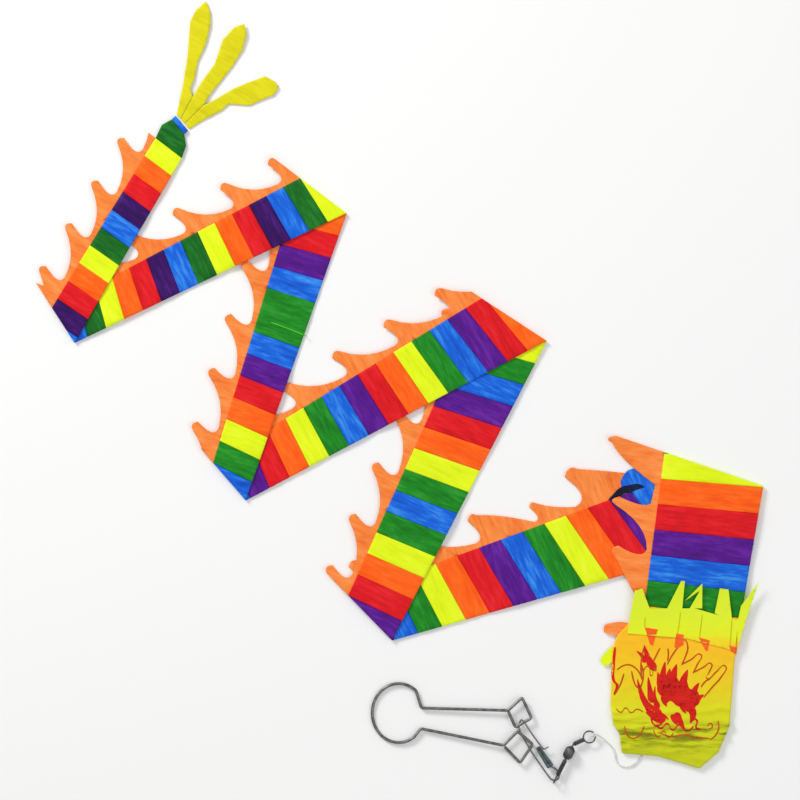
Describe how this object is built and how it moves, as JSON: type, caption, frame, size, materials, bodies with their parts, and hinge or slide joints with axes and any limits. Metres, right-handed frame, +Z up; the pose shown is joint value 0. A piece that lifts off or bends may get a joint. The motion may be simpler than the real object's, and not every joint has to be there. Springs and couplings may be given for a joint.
{
  "type": "dragon windsock kite",
  "caption": "Flat striped dragon windsock kite folded in a zig-zag, with a flame fin, printed head, tail streamers, bridle, swivel, snap and wire line clip.",
  "frame": {"origin": "middle of the laid-out kite's footprint, on the surface it lies on", "axes": "+Z up from the surface, +Y towards the tail along the layout's longer side, +X towards the neck fold"},
  "size_m": [0.5815, 0.6255, 0.008],
  "materials": {
    "cloth_yellow": "satin",
    "cloth_orange": "satin",
    "cloth_red": "satin",
    "cloth_purple": "satin",
    "cloth_blue": "satin",
    "cloth_green": "satin",
    "fin_cloth": "satin",
    "head_cloth": "satin",
    "streamer_cloth": "satin",
    "bridle_cord": "satin",
    "spring_steel": "drawn, bright"
  },
  "bodies": {
    "head_and_neck": {"section_1_yellow": "cloth_yellow", "section_1_orange": "cloth_orange", "section_1_red": "cloth_red", "section_1_purple": "cloth_purple", "section_1_blue": "cloth_blue", "section_1_green": "cloth_green", "flame_fin_1": "fin_cloth", "head_cover": "head_cloth", "mane_collar": "head_cloth", "bridle_line": "bridle_cord"},
    "ribbon_2": {"section_2_yellow": "cloth_yellow", "section_2_orange": "cloth_orange", "section_2_red": "cloth_red", "section_2_purple": "cloth_purple", "section_2_blue": "cloth_blue", "section_2_green": "cloth_green", "flame_fin_2": "fin_cloth"},
    "ribbon_3": {"section_3_yellow": "cloth_yellow", "section_3_orange": "cloth_orange", "section_3_red": "cloth_red", "section_3_purple": "cloth_purple", "section_3_blue": "cloth_blue", "section_3_green": "cloth_green", "flame_fin_3": "fin_cloth"},
    "ribbon_4": {"section_4_yellow": "cloth_yellow", "section_4_orange": "cloth_orange", "section_4_red": "cloth_red", "section_4_purple": "cloth_purple", "section_4_blue": "cloth_blue", "section_4_green": "cloth_green", "flame_fin_4": "fin_cloth"},
    "ribbon_5": {"section_5_yellow": "cloth_yellow", "section_5_orange": "cloth_orange", "section_5_red": "cloth_red", "section_5_purple": "cloth_purple", "section_5_blue": "cloth_blue", "section_5_green": "cloth_green", "flame_fin_5": "fin_cloth"},
    "ribbon_6": {"section_6_yellow": "cloth_yellow", "section_6_orange": "cloth_orange", "section_6_red": "cloth_red", "section_6_purple": "cloth_purple", "section_6_blue": "cloth_blue", "section_6_green": "cloth_green", "flame_fin_6": "fin_cloth"},
    "ribbon_7": {"section_7_yellow": "cloth_yellow", "section_7_orange": "cloth_orange", "section_7_red": "cloth_red", "section_7_purple": "cloth_purple", "section_7_blue": "cloth_blue", "section_7_green": "cloth_green", "flame_fin_7": "fin_cloth", "tail_binding": "cloth_blue"},
    "streamers": {"tail_streamers": "streamer_cloth"},
    "line_eye": {"line_eye": "spring_steel"},
    "barrel": {"swivel_barrel": "spring_steel"},
    "snap_eye": {"snap_eye": "spring_steel"},
    "snap": {"snap_frame": "spring_steel"},
    "gate": {"snap_gate": "spring_steel"},
    "clip": {"line_clip": "spring_steel"}
  },
  "joints": [
    {"name": "fold_1", "type": "hinge", "parent": "head_and_neck", "child": "ribbon_2", "pos_m": [0.251, -0.061, 0.00135], "axis": [0.9463, -0.3234, 0], "range_deg": [0, 180]},
    {"name": "fold_2", "type": "hinge", "parent": "ribbon_2", "child": "ribbon_3", "pos_m": [-0.024, -0.1805, 0.00135], "axis": [0.6971, -0.717, 0], "range_deg": [0, 180]},
    {"name": "fold_3", "type": "hinge", "parent": "ribbon_3", "child": "ribbon_4", "pos_m": [0.0915, 0.0585, 0.00135], "axis": [-0.837, 0.5472, 0], "range_deg": [0, 180]},
    {"name": "fold_4", "type": "hinge", "parent": "ribbon_4", "child": "ribbon_5", "pos_m": [-0.1365, -0.0715, 0.00135], "axis": [0.6549, -0.7557, 0], "range_deg": [0, 180]},
    {"name": "fold_5", "type": "hinge", "parent": "ribbon_5", "child": "ribbon_6", "pos_m": [-0.061, 0.1575, 0.00135], "axis": [-0.7974, 0.6034, 0], "range_deg": [0, 180]},
    {"name": "fold_6", "type": "hinge", "parent": "ribbon_6", "child": "ribbon_7", "pos_m": [-0.2695, 0.0535, 0.00135], "axis": [0.5408, -0.8412, 0], "range_deg": [0, 180]},
    {"name": "tail_lift", "type": "hinge", "parent": "ribbon_7", "child": "streamers", "pos_m": [-0.17412, 0.21582, 0.0004], "axis": [0.6402, -0.7682, 0], "range_deg": [0, 90]},
    {"name": "bridle_swing", "type": "hinge", "parent": "head_and_neck", "child": "line_eye", "pos_m": [0.1555, -0.2732, 0.004], "axis": [0, 0, 1], "range_deg": [0, 30]},
    {"name": "barrel_spin", "type": "hinge", "parent": "line_eye", "child": "barrel", "pos_m": [0.135, -0.288, 0.004], "axis": [0.454, 0.891, 0], "continuous": true},
    {"name": "snap_eye_spin", "type": "hinge", "parent": "barrel", "child": "snap_eye", "pos_m": [0.135, -0.288, 0.004], "axis": [0.454, 0.891, 0], "continuous": true},
    {"name": "snap_swing", "type": "hinge", "parent": "snap_eye", "child": "snap", "pos_m": [0.12363, -0.31034, 0.0034], "axis": [0, 0, 1], "range_deg": [-1, 8]},
    {"name": "gate_open", "type": "hinge", "parent": "snap", "child": "gate", "pos_m": [0.09953, -0.26344, 0.0067], "axis": [0, 0, 1], "range_deg": [0, 20], "stiffness_Nm_per_rad": 0.02},
    {"name": "clip_swing", "type": "hinge", "parent": "snap", "child": "clip", "pos_m": [0.09733, -0.26494, 0.0042], "axis": [0, 0, 1], "range_deg": [-4, 2]}
  ]
}
